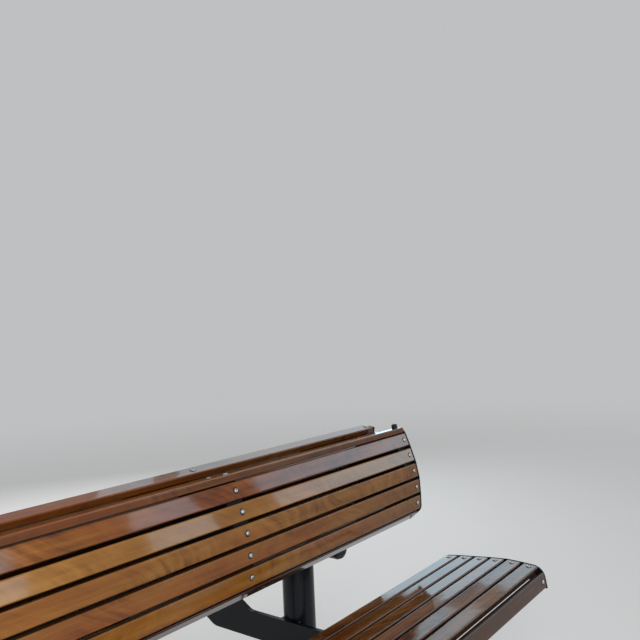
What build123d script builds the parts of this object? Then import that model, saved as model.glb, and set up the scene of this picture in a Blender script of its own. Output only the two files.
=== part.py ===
from build123d import *
from math import cos, radians, sin, tan
import os

# A back-to-back slatted bench of a cabin: two wooden seats share one steel frame on two posts.
# Sizes are in millimetres. X runs along the bench, Y across it and Z up from the floor. Side a
# faces -Y and side b faces +Y. A section is drawn in reach, the distance out from the middle
# plane, and height, and a side's sign turns reach into Y.
side_signs = {"a": -1, "b": 1}

# Slats
slat_length = 1580.0
slat_width = 43.0
slat_thickness = 16.0
slat_edge_radius = 3.5
slat_gap = 8.0
# Where a bar turns sharply, a slat stops this far before its corner, or the next one laps over it
return_gap = 4.3
return_lap = 3.8
cap_gap = 6.1
cap_lap = 16.2
nose_gap = 0.5

# Where the bars' outer faces meet the lower edge of each side's lowest slat: the back's lies below
# the spine tube's centre
back_foot_reach = 79.6
back_foot_drop = 43.2
seat_foot_reach = 517.3
seat_foot_height = 408.2
# The middle slat lies this far below the cap slats' inner top edges
trough_drop = 12.2

# Each row is a slat in the order in which the bar passes it, from the lowest one. Headings are in
# degrees, anticlockwise from straight outward. At a corner of the bar the slat before it ends and
# the slat after it starts at a set distance from the corner, and None stands for an even gap.
back_rows = (
    # name, heading, end to corner, corner to the next slat
    ("return", 41.4, return_gap, -return_lap),
    ("5", 90.0, None, None),
    ("4", 93.0, None, None),
    ("3", 102.0, None, None),
    ("2", 110.0, None, None),
    ("1", 112.0, cap_gap, -cap_lap),
    ("cap", 189.5, None, None),
)
seat_rows = (
    # name, heading, end to corner, corner to the next slat
    ("7", 100.5, nose_gap, nose_gap),
    ("6", 176.0, None, None),
    ("5", 178.5, None, None),
    ("4", 184.5, None, None),
    ("3", 186.0, None, None),
    ("2", 186.0, None, None),
    ("1", 188.0, None, None),
)

# Flat bars bent to the slats, and the lips of the end bars, which cover the slats' ends
bar_width = 50.0
bar_thickness = 8.0
bar_end_inset = 5.0
back_corner_radius = 12.0
seat_corner_radius = 20.0
lip_thickness = 5.0
lip_overhang = 3.0
# Turns in degrees: from the first on a corner is rounded, and below the second there is none
sharp_turn = 30.0
least_turn = 0.1

# Rib plates that close the section between the back bars
rib_thickness = 8.0
rib_belly = 16.0
rib_ease = 2.0

# Tubes
spine_diameter = 60.3
spine_height = 604.0
seat_tube_diameter = 48.3
seat_tube_lap = 33.0
spreader_diameter = 60.3
spreader_length = 116.0
spreader_reach = 440.0
tube_end_inset = 5.0
plug_height = 4.0
plug_taper = 25.0
# Each row is a step of a domed plug, from its tube outward
dome_rows = (
    # height, taper
    (8.5, 22.3),
    (3.5, 67.4),
)

# Posts, their saddles and base plates
post_diameter = 88.9
post_spacing = 640.0
base_side = 160.0
base_thickness = 10.0
base_corner_cut = 12.0
base_hole_diameter = 14.0
base_hole_spacing = 120.0
saddle_length = 88.0
saddle_width = 110.0
saddle_thickness = 8.0
saddle_corner_cut = 6.0
saddle_gap = 6.0
cheek_thickness = 10.0
cheek_inset = 8.0

# Crossbeams
beam_thickness = 12.0
beam_low = 310.0
beam_high = 384.0
beam_low_reach = 285.0
beam_high_reach = 138.0
beam_nose_depth = 22.0
beam_nose_radius = 5.5
beam_bend_radius = 40.0
bearer_width = 68.0
# Thinner than the bars, so that some of the plate is left above the seat tube's hole
bearer_thickness = 6.0
pad_width = 60.0
pad_depth = 15.0

# Pegs on the cap slats
peg_diameter = 19.0
peg_height = 15.0
peg_round = 6.0

# Running clearance between curved faces that seat on each other
fit_gap = 0.3


def moved(point, heading, distance):
    """The point that lies a distance away along a heading."""
    reach, height = point
    return (
        reach + distance * cos(radians(heading)),
        height + distance * sin(radians(heading)),
    )


def inward(point, heading, distance):
    """The point that lies a distance inside a face that runs along a heading."""
    return moved(point, heading + 90, distance)


def lay_slats(rows, foot):
    """The inner face of each slat as name: (start, heading), and the bar's corners with their turns."""
    laid, corners = {}, []
    start = foot
    for row, following in zip(rows, rows[1:] + (None,)):
        name, heading, before, after = row
        laid[name] = (start, heading)
        if following is None:
            break
        turn = following[1] - heading
        if before is None:
            even = slat_gap / 2 / cos(radians(turn / 2)) - slat_thickness * tan(radians(turn / 2))
            before = after = even
        corner = moved(start, heading, slat_width + before)
        corners.append((corner, heading, turn))
        start = moved(corner, following[1], after)
    return laid, corners


back_laid, back_corners = lay_slats(back_rows, (back_foot_reach, spine_height - back_foot_drop))
seat_laid, seat_corners = lay_slats(seat_rows, (seat_foot_reach, seat_foot_height))


def slat_end(laid, name):
    """The end of a slat's inner face."""
    start, heading = laid[name]
    return moved(start, heading, slat_width)


def shifted_corners(corners, depth):
    """The bar's corners moved inside it by a depth, with their turns."""
    moved_corners = []
    for corner, heading, turn in corners:
        along = inward(corner, heading, depth)
        moved_corners.append((moved(along, heading, -depth * tan(radians(turn / 2))), turn))
    return moved_corners


def bends(corners):
    """The corners at which a bar turns."""
    return [row for row in corners if abs(row[2]) > least_turn]


def bend_radius(turn, corner_radius, depth):
    """The radius of a bend at a depth inside the bar's outer face."""
    return corner_radius - depth if turn > sharp_turn else 0


def strip(start, corners, end, corner_radius, outer, inner):
    """The closed outline between two depths inside a bent face, and the radius at each corner."""
    rows = []
    for depth in (outer, inner):
        face = [(inward(*start, depth), 0)]
        for point, turn in shifted_corners(bends(corners), depth):
            face.append((point, bend_radius(turn, corner_radius, depth)))
        face.append((inward(*end, depth), 0))
        rows.append(face)
    outline = rows[0] + rows[1][::-1]
    return [point for point, radius in outline], [radius for point, radius in outline]


def on_side(points, side):
    """Section points as Y and Z on one side of the bench."""
    return [(side_signs[side] * reach, height) for reach, height in points]


def write(builder, name):
    """Labels a finished piece and writes it to a file of its own."""
    builder.part.label = name
    export_step(builder.part, f"parts/{name}.step")


def make_slat(name, centre, heading):
    """One slat along the bench, centred on a section point, its width along a heading, which has
    its rounded outer edges on the right."""
    across = (0, cos(radians(heading)), sin(radians(heading)))
    section = Plane(origin=(-slat_length / 2, *centre), x_dir=across, z_dir=(1, 0, 0))
    with BuildPart() as slat:
        with BuildSketch(section) as profile:
            Rectangle(slat_width, slat_thickness)
            fillet(profile.vertices().group_by(Axis.Y)[0], slat_edge_radius)
        extrude(amount=slat_length)
    write(slat, name)


def make_side_slats(laid, prefix, side):
    """All slats of one side that a bar carries."""
    for name, (start, heading) in laid.items():
        middle = moved(start, heading, slat_width / 2)
        centre = inward(middle, heading, -slat_thickness / 2)
        sign = side_signs[side]
        make_slat(f"{prefix}_slat_{side}_{name}", (sign * centre[0], centre[1]), sign * heading)


def make_bar(name, outline, lip, side, end_sign):
    """A flat bar bent to a section outline, which has a lip over the slats' ends at an end."""
    with BuildPart() as bar:
        with BuildSketch(Plane.YZ.offset(end_sign * end_bar_x - bar_width / 2)):
            with BuildLine():
                points, radii = outline
                FilletPolyline(*on_side(points, side), radius=radii, close=True)
            make_face()
        extrude(amount=bar_width)
        if end_sign:
            with BuildSketch(Plane.YZ.offset(end_sign * slat_length / 2)):
                with BuildLine():
                    points, radii = lip
                    FilletPolyline(*on_side(points, side), radius=radii, close=True)
                make_face()
            extrude(amount=end_sign * lip_thickness)
    write(bar, name)


def bar_and_lip(laid, corners, first, last, corner_radius, end_inset):
    """The outlines of a bar and of its lip, from the first slat to the last one."""
    first_start, first_heading = laid[first]
    last_heading = laid[last][1]
    start = (moved(first_start, first_heading, bar_end_inset), first_heading)
    lip_start = (moved(first_start, first_heading, -lip_overhang), first_heading)
    end = (moved(slat_end(laid, last), last_heading, -end_inset), last_heading)
    bar = strip(start, corners, end, corner_radius, 0, bar_thickness)
    lip = strip(lip_start, corners, end, corner_radius, -slat_thickness, bar_thickness)
    return start, end, bar, lip


back_start, back_end, back_bar, back_lip = bar_and_lip(
    back_laid, back_corners, "return", "cap", back_corner_radius, 0
)
seat_start, seat_end, seat_bar, seat_lip = bar_and_lip(
    seat_laid, seat_corners, "7", "1", seat_corner_radius, bar_end_inset
)

end_bar_x = slat_length / 2 + lip_thickness - bar_width / 2
bar_signs = {"left": -1, "middle": 0, "right": 1}
tube_length = slat_length - 2 * tube_end_inset

# The middle slat lies in the trough between the cap slats
cap_start, cap_heading = back_laid["cap"]
cap_inner_top = inward(slat_end(back_laid, "cap"), cap_heading, -slat_thickness)
trough_height = cap_inner_top[1] - trough_drop
rib_top = trough_height - slat_thickness

# The seat tubes lie under the seat bars, at a set place along slat 4
slat_4_start, slat_4_heading = seat_laid["4"]
seat_tube_radius = seat_tube_diameter / 2
seat_tube_centre = inward(
    moved(slat_4_start, slat_4_heading, seat_tube_lap),
    slat_4_heading,
    bar_thickness + fit_gap + seat_tube_radius,
)

spine_radius = spine_diameter / 2
post_radius = post_diameter / 2
post_x = post_spacing / 2
spine_bottom = spine_height - spine_radius
saddle_top = spine_bottom - saddle_gap
post_top = saddle_top - saddle_thickness
spreader_height = spine_bottom - fit_gap - spreader_diameter / 2


def make_rib(centre_x, name):
    """A plate that closes the back bars' section, with a rounded belly below the spine tube."""
    inner = shifted_corners(bends(back_corners), bar_thickness)
    low = inward(*back_start, bar_thickness)
    high = inward(*back_end, bar_thickness)
    half = [low] + [point for point, turn in inner] + [high, (slat_width / 2, rib_top)]
    eased = bar_thickness - rib_ease
    half_radii = [0] + [bend_radius(turn, back_corner_radius, eased) for point, turn in inner] + [0, 0]
    outline = half + [(-reach, height) for reach, height in reversed(half)]
    with BuildPart() as rib:
        with BuildSketch(Plane.YZ.offset(centre_x - rib_thickness / 2)):
            with BuildLine():
                FilletPolyline(*outline, radius=half_radii + half_radii[::-1], close=True)
            make_face()
            with Locations((0, spine_height)):
                Circle(spine_radius + rib_belly)
            with Locations((0, spine_height)):
                Circle(spine_radius + fit_gap, mode=Mode.SUBTRACT)
        extrude(amount=rib_thickness)
    write(rib, name)


def make_tube(name, centre, diameter):
    """A tube along the bench, up to its end bars."""
    with BuildPart() as tube:
        with BuildSketch(Plane.YZ.offset(-tube_length / 2)):
            with Locations(centre):
                Circle(diameter / 2)
        extrude(amount=tube_length)
    write(tube, name)


def make_spreaders():
    """Two short tubes across, under the spine tube, with domed plugs in their ends."""
    with BuildPart() as spreaders:
        with BuildSketch(Plane.XZ.offset(-spreader_length / 2)):
            with Locations((-spreader_reach, spreader_height), (spreader_reach, spreader_height)):
                Circle(spreader_diameter / 2)
        extrude(amount=spreader_length)
    write(spreaders, "spreader_tubes")


def make_plugs():
    """Flat plugs on the spine tube and the seat tubes, and domed ones on the spreader tubes."""
    reach, level = seat_tube_centre
    places = (
        # Y, Z, diameter
        (0, spine_height, spine_diameter),
        (-reach, level, seat_tube_diameter),
        (reach, level, seat_tube_diameter),
    )
    with BuildPart() as plugs:
        for sign in (-1, 1):
            with BuildSketch(Plane.YZ.offset(sign * tube_length / 2)):
                for y, z, diameter in places:
                    with Locations((y, z)):
                        Circle(diameter / 2)
            extrude(amount=sign * plug_height, taper=plug_taper)
            foot, radius = spreader_length / 2, spreader_diameter / 2
            for height, taper in dome_rows:
                with BuildSketch(Plane.XZ.offset(sign * foot)):
                    with Locations((-spreader_reach, spreader_height), (spreader_reach, spreader_height)):
                        Circle(radius)
                extrude(amount=sign * height, taper=taper)
                foot += height
                radius -= height * tan(radians(taper))
    write(plugs, "tube_plugs")


def make_post(name, centre_x):
    """A leg post from its base plate up to its saddle."""
    with BuildPart() as post:
        with BuildSketch(Plane.XY.offset(base_thickness)):
            with Locations((centre_x, 0)):
                Circle(post_radius)
        extrude(amount=post_top - base_thickness)
    write(post, name)


def make_base(name, centre_x):
    """A base plate with four holes for the floor bolts."""
    with BuildPart() as base:
        with BuildSketch(Plane.XY) as outline:
            with Locations((centre_x, 0)):
                Rectangle(base_side, base_side)
                chamfer(outline.vertices(), base_corner_cut)
                with GridLocations(base_hole_spacing, base_hole_spacing, 2, 2):
                    Circle(base_hole_diameter / 2, mode=Mode.SUBTRACT)
        extrude(amount=base_thickness)
    write(base, name)


def make_saddle(name, centre_x):
    """A plate on the post with two cheeks that seat the spine tube."""
    half = saddle_width / 2
    cheek_top = spine_height - fit_gap
    cheek_start = saddle_length / 2 - cheek_thickness
    with BuildPart() as saddle:
        with BuildSketch(Plane.XY.offset(post_top)) as outline:
            with Locations((centre_x, 0)):
                Rectangle(saddle_length, saddle_width)
            chamfer(outline.vertices(), saddle_corner_cut)
        extrude(amount=saddle_thickness)
        for place in (centre_x - cheek_start - cheek_thickness, centre_x + cheek_start):
            with BuildSketch(Plane.YZ.offset(place)):
                with BuildLine():
                    Polyline(
                        (-half + cheek_inset, post_top + saddle_thickness / 2),
                        (half - cheek_inset, post_top + saddle_thickness / 2),
                        (half - cheek_inset, saddle_top),
                        (spine_radius + cheek_inset, cheek_top),
                        (-spine_radius - cheek_inset, cheek_top),
                        (-half + cheek_inset, saddle_top),
                        close=True,
                    )
                make_face()
                with Locations((0, spine_height)):
                    Circle(spine_radius + fit_gap, mode=Mode.SUBTRACT)
            extrude(amount=cheek_thickness)
    write(saddle, name)


def make_crossbeam(name, sign):
    """A plate beside the post with tapered arms, its bearers under the seat slats and its post pad."""
    inner_x = post_x - post_radius - beam_thickness - fit_gap
    corners = seat_corners[1:]
    nose_start, nose_heading = seat_laid["6"]
    nose = (moved(nose_start, nose_heading, seat_corner_radius), nose_heading)
    bearer, bearer_radii = strip(nose, corners, seat_end, seat_corner_radius, 0, bearer_thickness)
    # The plate reaches halfway into its bearers
    middle = bearer_thickness / 2
    tail_inner = inward(*seat_end, middle)
    nose_inner = inward(*nose, middle)
    centres = [point for point, turn in shifted_corners(bends(corners), middle)]
    half = [(beam_high_reach, beam_high), tail_inner] + centres[::-1]
    half += [
        nose_inner,
        (nose_inner[0], nose_inner[1] - beam_nose_depth),
        (beam_low_reach, beam_low),
    ]
    half_radii = [beam_bend_radius] + [0] * (len(centres) + 2) + [beam_nose_radius, beam_bend_radius]
    outline = half + [(-reach, height) for reach, height in reversed(half)]
    low_x, high_x = sorted((sign * inner_x, sign * (inner_x + beam_thickness)))
    bearer_low = min(sign * inner_x, sign * (inner_x + bearer_width))
    pad_x = sign * (inner_x + beam_thickness)
    with BuildPart() as beam:
        with BuildSketch(Plane.YZ.offset(low_x)):
            with BuildLine():
                FilletPolyline(*outline, radius=half_radii + half_radii[::-1], close=True)
            make_face()
            with Locations(seat_tube_centre, (-seat_tube_centre[0], seat_tube_centre[1])):
                Circle(seat_tube_radius + fit_gap, mode=Mode.SUBTRACT)
        extrude(amount=high_x - low_x)
        for side in side_signs:
            with BuildSketch(Plane.YZ.offset(bearer_low)):
                with BuildLine():
                    FilletPolyline(*on_side(bearer, side), radius=bearer_radii, close=True)
                make_face()
            extrude(amount=bearer_width)
        with BuildSketch(Plane.XY.offset(beam_low)):
            with Locations((pad_x + sign * pad_depth / 2, 0)):
                Rectangle(pad_depth, pad_width)
            with Locations((sign * post_x, 0)):
                Circle(post_radius + fit_gap, mode=Mode.SUBTRACT)
        extrude(amount=beam_high - beam_low)
    write(beam, name)


def make_pegs():
    """A rounded peg on the cap slat of each side, at that side's right-hand end."""
    foot = inward(moved(cap_start, cap_heading, slat_width / 2), cap_heading, -slat_thickness)
    with BuildPart() as pegs:
        for side, sign in side_signs.items():
            lean = cap_heading - 90
            up = (0, sign * cos(radians(lean)), sin(radians(lean)))
            seat_plane = Plane(
                origin=(-sign * end_bar_x, sign * foot[0], foot[1]),
                x_dir=(1, 0, 0),
                z_dir=up,
            )
            with BuildSketch(seat_plane):
                Circle(peg_diameter / 2)
            extrude(amount=peg_height)
        ends = [
            solid.faces().filter_by(GeomType.PLANE).sort_by(Axis.Z)[-1].edges()[0]
            for solid in pegs.solids()
        ]
        fillet(ends, peg_round)
    write(pegs, "cap_pegs")


os.makedirs("parts", exist_ok=True)
for side in side_signs:
    make_side_slats(back_laid, "back", side)
    make_side_slats(seat_laid, "seat", side)
    for place, end_sign in bar_signs.items():
        make_bar(f"back_bar_{side}_{place}", back_bar, back_lip, side, end_sign)
        make_bar(f"seat_bar_{side}_{place}", seat_bar, seat_lip, side, end_sign)
    side_tube = (side_signs[side] * seat_tube_centre[0], seat_tube_centre[1])
    make_tube(f"seat_tube_{side}", side_tube, seat_tube_diameter)
make_slat("back_slat_middle", (0, trough_height - slat_thickness / 2), 180)
for place, end_sign in bar_signs.items():
    make_rib(end_sign * end_bar_x, f"rib_{place}")
make_tube("spine_tube", (0, spine_height), spine_diameter)
make_spreaders()
make_plugs()
for place, sign in (("left", -1), ("right", 1)):
    make_post(f"post_{place}", sign * post_x)
    make_base(f"base_{place}", sign * post_x)
    make_saddle(f"saddle_{place}", sign * post_x)
    make_crossbeam(f"crossbeam_{place}", sign)
make_pegs()
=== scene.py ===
"""Dresses the packed back-to-back slatted bench: slats, screws, weld beads, paint and a studio."""

import math
import random

import bpy
from mathutils import Matrix, Quaternion, Vector


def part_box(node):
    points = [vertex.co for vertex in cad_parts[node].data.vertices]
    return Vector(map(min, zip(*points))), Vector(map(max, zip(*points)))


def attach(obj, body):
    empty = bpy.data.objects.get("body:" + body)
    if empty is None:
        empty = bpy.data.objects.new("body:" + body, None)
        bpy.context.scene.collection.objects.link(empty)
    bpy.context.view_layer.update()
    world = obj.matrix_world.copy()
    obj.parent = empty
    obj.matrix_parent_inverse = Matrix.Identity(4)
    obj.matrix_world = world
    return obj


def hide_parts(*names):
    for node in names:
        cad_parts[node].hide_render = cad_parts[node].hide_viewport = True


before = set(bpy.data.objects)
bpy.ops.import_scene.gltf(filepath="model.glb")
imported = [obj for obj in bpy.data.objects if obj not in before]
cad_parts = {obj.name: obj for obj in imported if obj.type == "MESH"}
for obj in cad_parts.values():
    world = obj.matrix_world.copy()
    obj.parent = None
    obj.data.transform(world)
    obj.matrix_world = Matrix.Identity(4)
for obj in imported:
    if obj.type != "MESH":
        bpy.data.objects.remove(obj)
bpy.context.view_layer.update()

bl_info = {
    "name": "Slatted Bench Dresser",
    "version": (1, 0, 0),
    "blender": (4, 5, 0),
    "location": "3D View > Sidebar > Bench",
    "description": "Dresses the packed slatted bench with varnished wood, screws and painted steel",
    "category": "Object",
}

BODY = "root"
MM = 0.001
BAR_PLACES = ("left", "middle", "right")
GRAIN_SEED = 11
SCREW_SEED = 5


class Value:
    """One output of a shader node, on which arithmetic adds Math nodes."""

    def __init__(self, shader, socket):
        self.shader = shader
        self.socket = socket

    def math(self, operation, *others):
        """The result of a Math node on this value and others."""
        inputs = dict(enumerate((self,) + others))
        return self.shader.node("ShaderNodeMath", {"operation": operation}, inputs)

    def __add__(self, other):
        return self.math("ADD", other)

    __radd__ = __add__

    def __mul__(self, other):
        return self.math("MULTIPLY", other)

    __rmul__ = __mul__

    def __sub__(self, other):
        return self.math("SUBTRACT", other)

    def __rsub__(self, other):
        return self.shader.node("ShaderNodeMath", {"operation": "SUBTRACT"}, {0: other, 1: self})

    def clamped(self):
        """The value held between 0 and 1."""
        return self.math("MAXIMUM", 0.0).math("MINIMUM", 1.0)

    def step(self, low, high):
        """A smooth step from 0 at low to 1 at high."""
        inputs = {"Value": self, "From Min": low, "From Max": high}
        return self.shader.node("ShaderNodeMapRange", {"interpolation_type": "SMOOTHSTEP"}, inputs)


class Shader:
    """A material or world whose nodes are added one by one."""

    def __init__(self, owner):
        owner.use_nodes = True
        self.tree = owner.node_tree
        self.tree.nodes.clear()

    def node(self, kind, settings=None, inputs=None, output=0):
        """A node of a type with its settings and the values or links of its sockets."""
        made = self.tree.nodes.new(kind)
        for name, value in (settings or {}).items():
            if name == "stops":
                self.set_stops(made.color_ramp, value)
            else:
                setattr(made, name, value)
        for name, value in (inputs or {}).items():
            if isinstance(value, Value):
                self.tree.links.new(value.socket, made.inputs[name])
            else:
                made.inputs[name].default_value = value
        return Value(self, made.outputs[output]) if made.outputs else None

    def set_stops(self, ramp, stops):
        """Puts a colour ramp's stops at their places."""
        while len(ramp.elements) < len(stops):
            ramp.elements.new(0.5)
        for element, (place, colour) in zip(ramp.elements, stops):
            element.position = place
            element.color = (*colour, 1.0)

    def attribute(self, name, output):
        """A named layer of the mesh."""
        return self.node("ShaderNodeAttribute", {"attribute_name": name}, output=output)

    def stretched(self, vector, scale):
        """A vector with each part multiplied by its own scale."""
        return self.node("ShaderNodeVectorMath", {"operation": "MULTIPLY"}, {0: vector, 1: scale})

    def noise(self, vector, scale, detail=2.0, roughness=0.5, distortion=0.0):
        """Noise around 0.5 with its own scale along each part of the vector."""
        inputs = {
            "Vector": self.stretched(vector, scale),
            "Scale": 1.0,
            "Detail": detail,
            "Roughness": roughness,
            "Distortion": distortion,
        }
        return self.node("ShaderNodeTexNoise", {}, inputs, "Fac")

    def vector(self, *parts):
        """A vector from its three parts."""
        return self.node("ShaderNodeCombineXYZ", {}, dict(enumerate(parts)))

    def parts(self, vector):
        """The three parts of a vector."""
        return [self.node("ShaderNodeSeparateXYZ", {}, {0: vector}, k) for k in range(3)]

    def mix(self, factor, first, second, blend="MIX"):
        """A blend of two colours."""
        settings = {"data_type": "RGBA", "blend_type": blend}
        colours = [c if isinstance(c, Value) else (*c, 1.0) for c in (first, second)]
        inputs = {"Factor": factor, 6: colours[0], 7: colours[1]}
        return self.node("ShaderNodeMix", settings, inputs, 2)

    def shown(self):
        """1 for a ray that shows what it meets, straight or mirrored, and 0 for one that only lights."""
        rays = [
            self.node("ShaderNodeLightPath", {}, output=f"Is {kind} Ray")
            for kind in ("Camera", "Glossy", "Transmission")
        ]
        return rays[0].math("MAXIMUM", rays[1]).math("MAXIMUM", rays[2])

    def bump(self, height, strength, distance, normal=None):
        """A normal bent by a height."""
        inputs = {"Height": height, "Strength": strength, "Distance": distance}
        if normal is not None:
            inputs["Normal"] = normal
        return self.node("ShaderNodeBump", {}, inputs)

    def surface(self, inputs):
        """The principled shader on the output."""
        principled = self.node("ShaderNodeBsdfPrincipled", {}, inputs)
        self.node("ShaderNodeOutputMaterial", {}, {"Surface": principled})


class BenchWood(bpy.types.PropertyGroup):
    """The slats' wood and varnish."""

    light: bpy.props.FloatVectorProperty(
        name="Light wood",
        description="Colour of the pale bands",
        subtype="COLOR",
        default=(0.33, 0.154, 0.032),
    )
    middle: bpy.props.FloatVectorProperty(
        name="Middle wood",
        description="Colour of most of the wood",
        subtype="COLOR",
        default=(0.214, 0.086, 0.0143),
    )
    dark: bpy.props.FloatVectorProperty(
        name="Dark wood",
        description="Colour of the dark streaks",
        subtype="COLOR",
        default=(0.061, 0.021, 0.007),
    )
    # Painted shade: the colour that the slats' sides and backs are darkened towards
    shade: bpy.props.FloatVectorProperty(
        name="Shaded wood",
        description="Colour of the slats' sides and backs",
        subtype="COLOR",
        default=(0.021, 0.0086, 0.0043),
    )
    ruddy: bpy.props.FloatVectorProperty(
        name="Ruddy tint",
        description="What a ruddy stretch multiplies the wood's colour by",
        subtype="COLOR",
        default=(1.0, 0.66, 0.62),
    )
    gloss: bpy.props.FloatProperty(
        name="Varnish roughness",
        description="Roughness of the varnish",
        default=0.06,
        subtype="FACTOR",
        min=0.0,
        max=1.0,
    )
    edge_radius: bpy.props.FloatProperty(
        name="Edge radius",
        description="Radius of a slat's long edges",
        default=3.5 * MM,
        unit="LENGTH",
    )
    back_radius: bpy.props.FloatProperty(
        name="Back edge radius",
        description="Radius of the long edges that lie on the bars",
        default=1.2 * MM,
        unit="LENGTH",
    )
    corner_radius: bpy.props.FloatProperty(
        name="Corner radius",
        description="Radius of the corners at a slat's ends",
        default=5.0 * MM,
        unit="LENGTH",
    )
    end_round: bpy.props.FloatProperty(
        name="End rounding",
        description="Rounding of a slat's ends",
        default=1.0 * MM,
        unit="LENGTH",
    )


class BenchScrews(bpy.types.PropertyGroup):
    """The domed screws that hold the slats."""

    diameter: bpy.props.FloatProperty(
        name="Head diameter",
        description="Diameter of a screw's domed head",
        default=12 * MM,
        unit="LENGTH",
    )
    height: bpy.props.FloatProperty(
        name="Head height",
        description="Height of the dome above the slat",
        default=3.6 * MM,
        unit="LENGTH",
    )
    # The thin black ring under each head is painted shade round the head
    shade_ring: bpy.props.FloatProperty(
        name="Washer diameter",
        description="Diameter of the thin black washer under a head",
        default=16 * MM,
        unit="LENGTH",
    )
    socket: bpy.props.FloatProperty(
        name="Socket size",
        description="Distance across the hexagonal socket's corners",
        default=5.2 * MM,
        unit="LENGTH",
    )
    steel: bpy.props.FloatVectorProperty(
        name="Steel",
        description="Colour of the stainless steel",
        subtype="COLOR",
        default=(0.6, 0.57, 0.54),
    )


class BenchPaint(bpy.types.PropertyGroup):
    """The frame's black paint."""

    colour: bpy.props.FloatVectorProperty(
        name="Paint",
        description="Colour of the gloss paint",
        subtype="COLOR",
        default=(0.003, 0.0045, 0.007),
    )
    gloss: bpy.props.FloatProperty(
        name="Paint roughness",
        description="Roughness of the paint",
        default=0.22,
        subtype="FACTOR",
        min=0.0,
        max=1.0,
    )
    dull: bpy.props.FloatProperty(
        name="Bar roughness",
        description="Roughness of the paint on the bars and ribs behind the slats",
        default=0.6,
        subtype="FACTOR",
        min=0.0,
        max=1.0,
    )
    dust: bpy.props.FloatVectorProperty(
        name="Dust",
        description="Colour of the dust on the paint",
        subtype="COLOR",
        default=(0.06, 0.07, 0.08),
    )
    plastic: bpy.props.FloatVectorProperty(
        name="Plastic",
        description="Colour of the plugs and pegs",
        subtype="COLOR",
        default=(0.0057, 0.0057, 0.0064),
    )


class BenchWelds(bpy.types.PropertyGroup):
    """The weld beads round posts and spine tube."""

    leg: bpy.props.FloatProperty(
        name="Leg",
        description="Length of a bead's legs",
        default=5 * MM,
        unit="LENGTH",
    )
    root: bpy.props.FloatProperty(
        name="Root",
        description="Depth to which a bead reaches into the pieces that it joins",
        default=0.5 * MM,
        unit="LENGTH",
    )


class BenchStage(bpy.types.PropertyGroup):
    """The camera, floor and lights."""

    camera_place: bpy.props.FloatVectorProperty(
        name="Camera",
        description="Place of the camera",
        subtype="TRANSLATION",
        default=(-1.1856, -1.2777, 1.190),
    )
    camera_heading: bpy.props.FloatProperty(
        name="Heading",
        description="Direction of view, anticlockwise from +X",
        subtype="ANGLE",
        default=math.radians(37.63),
    )
    camera_rise: bpy.props.FloatProperty(
        name="Rise",
        description="Direction of view above the horizon",
        subtype="ANGLE",
        default=math.radians(0.41),
    )
    camera_roll: bpy.props.FloatProperty(
        name="Roll",
        description="Turn of the camera about its direction of view",
        subtype="ANGLE",
        default=math.radians(2.49),
    )
    camera_lens: bpy.props.FloatProperty(
        name="Lens",
        description="Focal length in millimetres on a 36 mm frame",
        default=39.54,
        unit="CAMERA",
    )
    floor_radius: bpy.props.FloatProperty(
        name="Floor radius",
        description="Radius of the round floor, which fades out towards its rim",
        default=9.0,
        unit="LENGTH",
    )
    floor_colour: bpy.props.FloatVectorProperty(
        name="Floor",
        description="Colour of the floor",
        subtype="COLOR",
        default=(0.66, 0.66, 0.66),
    )
    floor_glow: bpy.props.FloatProperty(
        name="Floor glow",
        description="Brightness added to the floor where it is seen",
        default=0.16,
    )
    light_level: bpy.props.FloatProperty(
        name="Light level",
        description="Brightness of the even light from all around",
        default=0.38,
    )
    wall_level: bpy.props.FloatProperty(
        name="Wall level",
        description="Brightness of the surroundings as they are seen",
        default=0.53,
    )


def new_mesh(name, parts, material, layers=None):
    """A mesh object that rides on the bench, from its points, normals and faces, and named layers."""
    points, normals, faces = parts
    mesh = bpy.data.meshes.new(name)
    mesh.from_pydata(points, [], faces)
    mesh.update()
    mesh.polygons.foreach_set("use_smooth", [True] * len(mesh.polygons))
    mesh.normals_split_custom_set_from_vertices(normals)
    for layer, (kind, key, values) in (layers or {}).items():
        mesh.attributes.new(layer, kind, "POINT").data.foreach_set(key, values)
    mesh.materials.append(material)
    piece = bpy.data.objects.new(name, mesh)
    bpy.context.scene.collection.objects.link(piece)
    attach(piece, BODY)
    return piece


def ring_faces(rings, around, closed=False):
    """Quads between rings that follow each other, with the last one joined to the first if closed."""
    faces = []
    for ring in range(rings if closed else rings - 1):
        following = (ring + 1) % rings
        for k in range(around):
            turned = (k + 1) % around
            near = (ring * around + k, ring * around + turned)
            far = (following * around + turned, following * around + k)
            faces.append(near + far)
    return faces


def lathed(profile, around):
    """Points and normals of a profile turned about +Z, whose rows are a radius, a height and a lean."""
    points, normals = [], []
    for radius, height, lean in profile:
        # The lean is the normal's angle from +Z in degrees
        n_out, n_up = math.sin(math.radians(lean)), math.cos(math.radians(lean))
        for k in range(around):
            angle = 2 * math.pi * k / around
            points.append((radius * math.cos(angle), radius * math.sin(angle), height))
            normals.append((n_out * math.cos(angle), n_out * math.sin(angle), n_up))
    return points, normals


def joined(copies):
    """The points, normals and faces of one mesh from copies of parts, each with its foot and its turn."""
    points, normals, faces = [], [], []
    for parts, foot, turn in copies:
        start = len(points)
        points += [foot + turn @ Vector(point) for point in parts[0]]
        normals += [turn @ Vector(normal) for normal in parts[1]]
        faces += [tuple(start + k for k in face) for face in parts[2]]
    return points, normals, faces


def section_frame(node):
    """A slat's centre, the directions of its length, width and showing face, and its size along them."""
    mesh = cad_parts[node].data
    # The largest face is the back, because only the showing face has rounded edges
    back = max(mesh.polygons, key=lambda face: face.area)
    through = -back.normal
    along = Vector((1, 0, 0))
    axes = (along, through.cross(along), through)
    middle, size = Vector((0, 0, 0)), []
    for axis in axes:
        places = [vertex.co.dot(axis) for vertex in mesh.vertices]
        middle += axis * (min(places) + max(places)) / 2
        size.append(max(places) - min(places))
    return middle, axes, size


def slat_nodes():
    """The names of all slats in the frame."""
    return sorted(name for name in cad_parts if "_slat_" in name)


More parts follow.
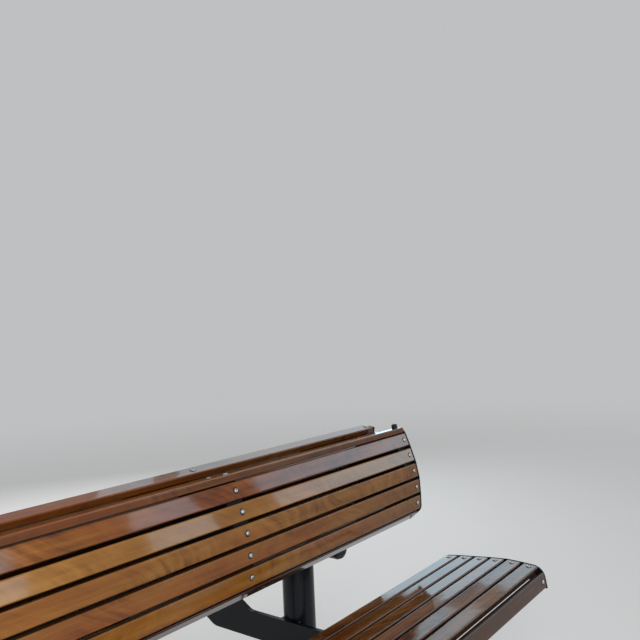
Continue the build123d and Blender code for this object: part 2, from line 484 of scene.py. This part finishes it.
def wood_material(wood):
    """Varnished hardwood with long grain, fine pores and a flame figure."""
    material = bpy.data.materials.new("varnished_wood")
    shader = Shader(material)
    grain = shader.attribute("grain", "Vector")
    tone = shader.attribute("tone", "Fac")
    warmth = shader.attribute("warmth", "Fac")
    along, across, through = shader.parts(grain)
    drift = shader.noise(grain, (2.2, 12.0, 12.0), 2.0)
    streaks = shader.noise(grain, (5.0, 240.0, 240.0), 4.0, 0.6)
    fine = shader.noise(grain, (22.0, 800.0, 800.0), 3.0, 0.6)
    patches = shader.noise(grain, (4.0, 26.0, 26.0), 3.0, 0.55)
    # The flame figure: soft bands that lean across the slat, strong in some stretches
    lean = shader.noise(grain, (3.0, 9.0, 9.0), 1.0)
    band = along * 34.0 + across * 30.0 + lean * 9.0
    flame = shader.noise(shader.vector(band, across * 14.0, through * 14.0), (1.0, 1.0, 1.0), 3.0, 0.6)
    stretch = shader.noise(grain, (3.4, 7.0, 7.0), 1.0).step(0.42, 0.62)
    rings = shader.noise(grain, (1.4, 90.0, 90.0), 2.0, 0.5, 0.3)
    pores = shader.noise(grain, (34.0, 1400.0, 1400.0), 1.0).step(0.6, 0.74)
    body = tone + (streaks - 0.5) * 0.4 + (patches - 0.5) * 0.9 + (rings - 0.5) * 0.4
    body = (body + (flame - 0.5) * (0.4 + stretch)).clamped()
    colour = shader.node(
        "ShaderNodeValToRGB",
        {"stops": ((0.0, wood.dark), (0.42, wood.middle), (0.95, wood.light))},
        {"Fac": body},
    )
    ruddy = shader.mix(1.0, colour, wood.ruddy, "MULTIPLY")
    colour = shader.mix((warmth + (drift - 0.5) * 2.4).clamped(), colour, ruddy)
    colour = shader.mix((fine - 0.4) * 0.5, colour, wood.dark)
    colour = shader.mix(pores * 0.3, colour, wood.dark)
    end_grain = shader.attribute("end_grain", "Fac")
    colour = shader.mix(end_grain * 0.6, colour, wood.dark)
    # Painted shade darkens the slats' sides and backs towards the shaded wood colour
    hidden = shader.attribute("hidden", "Fac")
    colour = shader.mix(hidden * 0.85, colour, wood.shade)
    waves = shader.noise(grain, (9.0, 20.0, 20.0), 2.0)
    normal = shader.bump(waves, 0.35, 0.0009)
    normal = shader.bump(streaks * 0.5 + fine * 0.4 - pores * 0.5, 0.12, 0.0001, normal)
    shader.surface(
        {
            "Base Color": colour,
            "Roughness": wood.gloss + (streaks - 0.5) * 0.04 + pores * 0.06,
            "IOR": 1.45,
            "Normal": normal,
        }
    )
    return material


def slat_points(size, wood):
    """Points and normals of a slat as (along, across, through), and its counts round and along."""
    corner_steps = 6
    end_steps = 5
    stations = 40
    length, width, thickness = size
    # Each row is a corner of the section: the signs of its place and its radius
    corners = (
        (1, 1, wood.edge_radius),
        (-1, 1, wood.edge_radius),
        (-1, -1, wood.back_radius),
        (1, -1, wood.back_radius),
    )
    section = []
    for corner, (side, face, radius) in enumerate(corners):
        centre = (side * (width / 2 - radius), face * (thickness / 2 - radius))
        for step in range(corner_steps + 1):
            angle = (corner + step / corner_steps) * math.pi / 2
            section.append((side, centre, (math.cos(angle), math.sin(angle)), radius))
    # Each row is a ring: its place, how far its sides and its faces step in, and the lean of its normals
    rings = [(-length / 2, wood.corner_radius, wood.end_round, -1.0)]
    for step in range(1, end_steps + 1):
        angle = step / end_steps * math.pi / 2
        place = -length / 2 + wood.corner_radius * (1 - math.cos(angle))
        narrowing = wood.corner_radius * (1 - math.sin(angle))
        thinning = wood.end_round * (1 - step / end_steps) ** 2
        rings.append((place, narrowing, thinning, -math.cos(angle) ** 3))
    inner = length / 2 - wood.corner_radius
    for step in range(1, stations):
        rings.append((-inner + 2 * inner * step / stations, 0.0, 0.0, 0.0))
    rings += [(-place, *steps, -lean) for place, *steps, lean in reversed(rings[: end_steps + 1])]
    points, normals = [], []
    for place, narrowing, thinning, lean in rings:
        flat = math.sqrt(1 - lean * lean)
        for side, (across, through), (n_across, n_through), radius in section:
            reach = radius - thinning
            edge = across - side * narrowing + n_across * reach
            points.append((place, edge, through + n_through * reach))
            normals.append((lean, n_across * flat, n_through * flat))
    return points, normals, len(section), len(rings)


def make_slat(node, wood, material, tone, warmth, shift):
    """A slat with finely rounded edges in place of its plain solid."""
    middle, axes, size = section_frame(node)
    local, local_normals, around, rings = slat_points(size, wood)
    turn = Matrix(axes).transposed()
    points = [middle + turn @ Vector(point) for point in local]
    normals = [turn @ Vector(normal) for normal in local_normals]
    last = (rings - 1) * around
    faces = ring_faces(rings, around)
    faces.append(tuple(reversed(range(around))))
    faces.append(tuple(range(last, len(points))))
    grain = []
    for point in local:
        grain += [point[0] + shift[0], point[1] + shift[1], point[2] + shift[2]]
    ends = [1.0 if k < around or k >= last else 0.0 for k in range(len(points))]
    # Painted shade: the sides and the back, which lie in shade between the slats, are darker than the
    # showing face, in full from 73 degrees away from it, and less so on the cap slats, whose sides show
    shade_strength = 0.6 if node.endswith("_cap") else 1.0
    turned_away = [1.0 - max(normal[2], 0.0) for normal in local_normals]
    hidden = [shade_strength * min(1.0, 1.4 * away) for away in turned_away]
    layers = {
        "grain": ("FLOAT_VECTOR", "vector", grain),
        "tone": ("FLOAT", "value", [tone] * len(points)),
        "warmth": ("FLOAT", "value", [warmth] * len(points)),
        "end_grain": ("FLOAT", "value", ends),
        "hidden": ("FLOAT", "value", hidden),
    }
    piece = new_mesh(f"wood_{node}", (points, normals, faces), material, layers)
    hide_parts(node)


class BENCH_OT_slats(bpy.types.Operator):
    """Replaces each plain slat by a finely rounded one of varnished wood"""

    bl_idname = "bench.slats"
    bl_label = "Wooden slats"

    # How light and how red the slats are: those not listed are drawn at random
    slat_tones_and_shade = {
        "back_slat_a_cap": (0.46, 0.9),
        "back_slat_a_1": (0.34, 0.62),
        "back_slat_a_2": (0.72, 0.0),
        "back_slat_a_3": (0.52, 0.20),
        "back_slat_a_4": (0.5, 0.2),
        "back_slat_a_5": (0.56, 0.22),
        # Painted shade: the return slats' near-black tone darkens faces turned down from the light
        "back_slat_a_return": (0.05, 0.2),
        "back_slat_b_return": (0.05, 0.2),
        "back_slat_middle": (0.40, 0.55),
        "back_slat_b_cap": (0.42, 0.7),
        "seat_slat_a_1": (0.26, 0.10),
        "seat_slat_a_2": (0.22, 0.30),
        "seat_slat_a_3": (0.24, 0.25),
        "seat_slat_a_4": (0.28, 0.35),
        "seat_slat_a_5": (0.16, 0.60),
        "seat_slat_a_6": (0.24, 0.15),
        # Painted shade: the seats' front slats' near-black tone darkens faces turned from the light
        "seat_slat_a_7": (-0.08, 0.1),
        "seat_slat_b_7": (-0.08, 0.1),
    }

    def execute(self, context):
        wood = context.scene.bench_wood
        material = wood_material(wood)
        draw = random.Random(GRAIN_SEED)
        for node in slat_nodes():
            tone, warmth = draw.uniform(0.34, 0.6), draw.uniform(0.1, 0.6)
            tone, warmth = self.slat_tones_and_shade.get(node, (tone, warmth))
            shift = (draw.uniform(0, 9), draw.uniform(0.02, 0.09), draw.uniform(0.03, 0.2))
            make_slat(node, wood, material, tone, warmth, shift)
        return {"FINISHED"}


def steel_material(screws):
    """Bright stainless steel with fine turning marks."""
    material = bpy.data.materials.new("screw_steel")
    shader = Shader(material)
    place = shader.node("ShaderNodeTexCoord", {}, output="Object")
    marks = shader.noise(place, (900.0, 900.0, 900.0), 2.0)
    marked = (0.4, 0.39, 0.37)
    shader.surface(
        {
            "Base Color": shader.mix(marks * 0.4, screws.steel, marked),
            "Metallic": 1.0,
            "Roughness": 0.16 + marks * 0.12,
            "Normal": shader.bump(marks, 0.1, 0.00005),
        }
    )
    return material


def screw_parts(screws):
    """Points, normals and faces of one button-head screw, its axis along +Z from z = 0."""
    around = 24
    socket_depth = 0.55
    # Each row is a share of the radius, a share of the height and the normal's lean
    shares = ((1.0, -0.12, 90), (1.0, 0.12, 84), (0.94, 0.42, 62), (0.8, 0.72, 42), (0.6, 0.92, 24))
    dome = [(screws.diameter / 2 * r, screws.height * h, lean) for r, h, lean in shares]
    points, normals = lathed(dome, around)
    # The hexagonal socket has a ring at its mouth and one at its floor
    corner = math.pi / 6
    for height in (screws.height, screws.height * (1 - socket_depth)):
        for k in range(around):
            angle = 2 * math.pi * k / around
            r = screws.socket / 2 * math.cos(corner) / math.cos(angle % (2 * corner) - corner)
            points.append((r * math.cos(angle), r * math.sin(angle), height))
            normals.append((0.0, 0.0, 1.0))
    rings = len(dome) + 2
    faces = ring_faces(rings, around)
    faces.append(tuple(range((rings - 1) * around, rings * around)))
    faces.append(tuple(reversed(range(around))))
    return points, normals, faces


def shade_ring_parts(screws):
    """Points, normals and faces of the thin black ring of painted shade under a screw's head."""
    around = 24
    rim = screws.shade_ring / 2
    # Each row is a radius, a height and the normal's lean: the last ring joins the first one
    profile = (
        (rim, -0.1 * MM, 90),
        (rim, 0.3 * MM, 70),
        (rim - 0.4 * MM, 0.6 * MM, 20),
        (rim / 2, 0.7 * MM, 0),
    )
    return (*lathed(profile, around), ring_faces(len(profile), around, closed=True))


class BENCH_OT_screws(bpy.types.Operator):
    """Sets a domed stainless screw on a thin black ring of painted shade where each slat crosses a bar"""

    bl_idname = "bench.screws"
    bl_label = "Slat screws"

    # The side and the bar place of each cap slat's peg, where there is no screw
    pegged = (("a", "right"), ("b", "left"))

    def execute(self, context):
        screws = context.scene.bench_screws
        seats = self.seats()
        heads = joined([(screw_parts(screws), *seat) for seat in seats])
        new_mesh("slat_screws", heads, steel_material(screws))
        # A thin black ring of painted shade lies under each head
        shade_rings = joined([(shade_ring_parts(screws), *seat) for seat in seats])
        black = plastic_material("painted_shade_rings", context.scene.bench_paint)
        new_mesh("screw_shade_rings", shade_rings, black)
        return {"FINISHED"}

    def seats(self):
        """The foot and the turn of each screw."""
        seats = []
        draw = random.Random(SCREW_SEED)
        for node in slat_nodes():
            middle, axes, size = section_frame(node)
            up = axes[2]
            side = node.split("_")[2]
            for place in BAR_PLACES:
                if node.endswith("_cap") and (side, place) in self.pegged:
                    continue
                low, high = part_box(f"rib_{place}")
                foot = middle + up * size[2] / 2
                foot.x = (low.x + high.x) / 2
                spin = Matrix.Rotation(draw.uniform(0, math.pi), 3, up)
                seats.append((foot, spin @ Matrix(axes).transposed()))
        return seats


def paint_material(name, paint, gloss):
    """Black paint on steel with a faint orange peel and dust."""
    material = bpy.data.materials.new(name)
    shader = Shader(material)
    place = shader.node("ShaderNodeTexCoord", {}, output="Object")
    peel = shader.noise(place, (420.0, 420.0, 420.0), 2.0)
    dust = shader.noise(place, (14.0, 14.0, 14.0), 5.0, 0.6).step(0.45, 0.8)
    shader.surface(
        {
            "Base Color": shader.mix(dust * 0.04, paint.colour, paint.dust),
            "Roughness": gloss + dust * 0.12,
            "IOR": 1.3,
            "Normal": shader.bump(peel, 0.12, 0.0002),
        }
    )
    return material


def plastic_material(name, paint):
    """Moulded black plastic with a fine grain."""
    material = bpy.data.materials.new(name)
    shader = Shader(material)
    place = shader.node("ShaderNodeTexCoord", {}, output="Object")
    grain = shader.noise(place, (1200.0, 1200.0, 1200.0), 2.0)
    worn = (0.014, 0.014, 0.016)
    shader.surface(
        {
            "Base Color": shader.mix(grain * 0.3, paint.plastic, worn),
            "Roughness": 0.36 + grain * 0.1,
            "IOR": 1.4,
            "Normal": shader.bump(grain, 0.2, 0.0001),
        }
    )
    return material


def bead_parts(radius, welds):
    """Points, normals and faces of a rippled weld bead round a tube, rising along +Z from z = 0."""
    around = 168
    steps = 5
    ripples = 28
    swells = 3
    points, normals = [], []
    for step in range(steps + 1):
        lean = step / steps * math.pi / 2
        # The bead bulges a little beyond the straight line between its two toes
        bulge = 0.72 + 0.28 * abs(math.cos(2 * lean))
        n_out, n_up = math.cos(lean), math.sin(lean)
        for k in range(around):
            angle = 2 * math.pi * k / around
            ripple = 1 + 0.08 * math.sin(ripples * angle) + 0.05 * math.sin(swells * angle)
            size = welds.leg * ripple * bulge
            reach = radius + size * n_out
            points.append((reach * math.cos(angle), reach * math.sin(angle), size * n_up))
            normals.append((n_out * math.cos(angle), n_out * math.sin(angle), n_up))
    # The root lies inside both pieces and closes the bead's section
    inward = 225
    root_points, root_normals = lathed([(radius - welds.root, -welds.root, inward)], around)
    return points + root_points, normals + root_normals, ring_faces(steps + 2, around, closed=True)


class BENCH_OT_welds(bpy.types.Operator):
    """Lays weld beads at the posts' feet and where the spine tube passes the ribs"""

    bl_idname = "bench.welds"
    bl_label = "Weld beads"

    def execute(self, context):
        welds = context.scene.bench_welds
        copies = []
        for foot, axis, radius in self.seams():
            side = Vector((1, 0, 0)) if axis.z else Vector((0, 0, 1))
            turn = Matrix((side, axis.cross(side), axis)).transposed()
            copies.append((bead_parts(radius, welds), foot, turn))
        paint = context.scene.bench_paint
        material = paint_material("black_paint_beads", paint, paint.gloss)
        new_mesh("weld_beads", joined(copies), material)
        return {"FINISHED"}

    def seams(self):
        """Where each tube leaves a face: the middle of its ring, its direction and its radius."""
        seams = []
        for place in ("left", "right"):
            low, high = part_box(f"post_{place}")
            foot = Vector(((low.x + high.x) / 2, (low.y + high.y) / 2, low.z))
            seams.append((foot, Vector((0, 0, 1)), (high.x - low.x) / 2))
        low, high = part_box("spine_tube")
        middle, radius = (low + high) / 2, (high.z - low.z) / 2
        for place in BAR_PLACES:
            for corner, direction in zip(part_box(f"rib_{place}"), (-1, 1)):
                foot = Vector((corner.x, middle.y, middle.z))
                seams.append((foot, Vector((direction, 0, 0)), radius))
        return seams


class BENCH_OT_frame(bpy.types.Operator):
    """Paints the steel frame and colours its plastic plugs and pegs"""

    bl_idname = "bench.frame"
    bl_label = "Painted frame"

    def execute(self, context):
        paint = context.scene.bench_paint
        steel = paint_material("black_paint", paint, paint.gloss)
        dull = paint_material("black_paint_dull", paint, paint.dull)
        plastic = plastic_material("black_plastic", paint)
        for name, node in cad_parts.items():
            if "_slat_" in name:
                continue
            finish = steel
            if name in ("tube_plugs", "cap_pegs"):
                finish = plastic
            elif "_bar_" in name or name.startswith("rib_"):
                finish = dull
            node.data.materials.clear()
            node.data.materials.append(finish)
        return {"FINISHED"}


def area_light(name, place, facing, tilt, size, radiance, colour):
    """A soft rectangular lamp of a given brightness, which doesn't show itself to the camera."""
    light = bpy.data.lights.new(name, "AREA")
    light.shape = "RECTANGLE"
    light.size, light.size_y = size
    light.energy = radiance * math.pi * size[0] * size[1]
    light.color = colour
    lamp = bpy.data.objects.new(name, light)
    lamp.location = place
    turn = Quaternion(Vector(facing), math.radians(tilt)) @ Vector(facing).to_track_quat("-Z", "Y")
    lamp.rotation_euler = turn.to_euler()
    lamp.visible_camera = False
    bpy.context.scene.collection.objects.link(lamp)
    return lamp


class BENCH_OT_stage(bpy.types.Operator):
    """Sets the floor, the lights, the world and the camera"""

    bl_idname = "bench.stage"
    bl_label = "Studio"

    def execute(self, context):
        stage = context.scene.bench_stage
        self.make_floor(stage)
        self.make_world(stage)
        self.make_lights()
        self.make_camera(context, stage)
        context.scene.view_settings.view_transform = "Standard"
        return {"FINISHED"}

    def make_floor(self, stage):
        """A round floor that fades out, with a small glow where it shows or is mirrored."""
        around = 64
        shade = 0.97
        fade_start = 0.3
        points = []
        for k in range(around):
            angle = 2 * math.pi * k / around
            points.append((stage.floor_radius * math.cos(angle), stage.floor_radius * math.sin(angle), 0))
        mesh = bpy.data.meshes.new("floor")
        mesh.from_pydata(points, [], [tuple(range(around))])
        material = bpy.data.materials.new("floor_paint")
        shader = Shader(material)
        place = shader.node("ShaderNodeTexCoord", {}, output="Object")
        mottle = shader.noise(place, (3.0, 3.0, 3.0), 3.0)
        shaded = tuple(part * shade for part in stage.floor_colour)
        inputs = {
            "Base Color": shader.mix(mottle, stage.floor_colour, shaded),
            "Roughness": 0.7,
            "Emission Color": shader.mix(shader.shown(), (0.0, 0.0, 0.0), (1.0, 1.0, 1.0)),
            "Emission Strength": stage.floor_glow,
        }
        paint = shader.node("ShaderNodeBsdfPrincipled", {}, inputs)
        clear = shader.node("ShaderNodeBsdfTransparent")
        distance = shader.node("ShaderNodeVectorMath", {"operation": "LENGTH"}, {0: place}, "Value")
        fade = distance.step(stage.floor_radius * fade_start, stage.floor_radius)
        blend = shader.node("ShaderNodeMixShader", {}, {0: fade, 1: paint, 2: clear})
        shader.node("ShaderNodeOutputMaterial", {}, {"Surface": blend})
        mesh.materials.append(material)
        floor = bpy.data.objects.new("floor", mesh)
        bpy.context.scene.collection.objects.link(floor)

    def make_world(self, stage):
        """Even surroundings, which show brighter than they light."""
        world = bpy.data.worlds.new("studio")
        bpy.context.scene.world = world
        shader = Shader(world)
        strength = stage.light_level + shader.shown() * (stage.wall_level - stage.light_level)
        tint = (0.98, 0.99, 1.0, 1.0)
        light = shader.node("ShaderNodeBackground", {}, {"Color": tint, "Strength": strength})
        shader.node("ShaderNodeOutputWorld", {}, {"Surface": light})

    # Each row is a panel: its name, centre, facing, tilt in degrees, size and brightness
    panels = (
        ("panel_left", (-0.35, -2.6, 1.85), (0, 1, 0), 0, (2.4, 1.1), 3.0),
        ("panel_middle", (1.96, -2.6, 1.85), (0, 1, 0), 0, (0.56, 1.1), 3.0),
        ("panel_right", (4.95, -2.6, 1.85), (0, 1, 0), 0, (4.1, 1.1), 3.0),
        ("panel_far_left", (1.42, 1.94, 2.3), (0, -1, 0), 0, (0.4, 1.2), 0.95),
        ("panel_far_middle", (2.92, 1.94, 2.3), (0, -1, 0), 0, (2.2, 1.2), 0.95),
        ("panel_far_high", (5.75, 1.94, 4.33), (0, -1, 0), 31, (4.0, 2.0), 1.4),
        ("panel_far_low", (5.96, 1.94, 2.22), (0, -1, 0), 31, (6.5, 1.07), 1.5),
    )
    panel_tint = (0.52, 0.82, 1.0)
    softboxes = (
        ("softbox_near", (-1.7, -1.6, 1.6), (1.6, 1.5, -0.9), 0, (1.0, 1.0), 14.7),
        ("softbox_far", (2.0, 3.0, 2.2), (-2.0, -3.0, -1.6), 0, (2.0, 2.0), 4.2),
    )
    softbox_tint = (1.0, 0.99, 0.98)

    def make_lights(self):
        """Softboxes that light the bench, and bright panels that only its gloss mirrors."""
        for row in self.panels:
            area_light(*row, self.panel_tint).visible_diffuse = False
        for row in self.softboxes:
            area_light(*row, self.softbox_tint).visible_glossy = False

    def make_camera(self, context, stage):
        """The camera at the photograph's viewing angle."""
        camera = bpy.data.cameras.new("camera")
        camera.sensor_width = 36.0
        camera.lens = stage.camera_lens
        camera.clip_end = 200.0
        viewer = bpy.data.objects.new("camera", camera)
        flat = math.cos(stage.camera_rise)
        forward = Vector(
            (
                flat * math.cos(stage.camera_heading),
                flat * math.sin(stage.camera_heading),
                math.sin(stage.camera_rise),
            )
        )
        turn = Quaternion(forward, stage.camera_roll) @ forward.to_track_quat("-Z", "Y")
        viewer.matrix_world = Matrix.Translation(Vector(stage.camera_place)) @ turn.to_matrix().to_4x4()
        context.scene.collection.objects.link(viewer)
        context.scene.camera = viewer


OPERATORS = (BENCH_OT_slats, BENCH_OT_screws, BENCH_OT_welds, BENCH_OT_frame, BENCH_OT_stage)
GROUPS = {
    "bench_wood": BenchWood,
    "bench_screws": BenchScrews,
    "bench_paint": BenchPaint,
    "bench_welds": BenchWelds,
    "bench_stage": BenchStage,
}


class BENCH_PT_panel(bpy.types.Panel):
    """Lists the bench's operators and settings."""

    bl_idname = "BENCH_PT_panel"
    bl_label = "Slatted Bench"
    bl_space_type = "VIEW_3D"
    bl_region_type = "UI"
    bl_category = "Bench"

    def draw(self, context):
        for operator in OPERATORS:
            self.layout.operator(operator.bl_idname)
        for name, group in GROUPS.items():
            box = self.layout.box()
            box.label(text=group.__doc__)
            for key in group.__annotations__:
                box.prop(getattr(context.scene, name), key)


def register():
    """Registers the settings, the operators and the panel."""
    for group in GROUPS.values():
        bpy.utils.register_class(group)
    for name, group in GROUPS.items():
        setattr(bpy.types.Scene, name, bpy.props.PointerProperty(type=group))
    for operator in OPERATORS:
        bpy.utils.register_class(operator)
    bpy.utils.register_class(BENCH_PT_panel)


def unregister():
    """Takes the panel, the operators and the settings out again."""
    bpy.utils.unregister_class(BENCH_PT_panel)
    for operator in reversed(OPERATORS):
        bpy.utils.unregister_class(operator)
    for name, group in GROUPS.items():
        delattr(bpy.types.Scene, name)
        bpy.utils.unregister_class(group)


def main():
    """Dresses the bench and sets the stage."""
    register()
    bpy.ops.bench.slats()
    bpy.ops.bench.screws()
    bpy.ops.bench.welds()
    bpy.ops.bench.frame()
    bpy.ops.bench.stage()


if __name__ == "__main__":
    main()
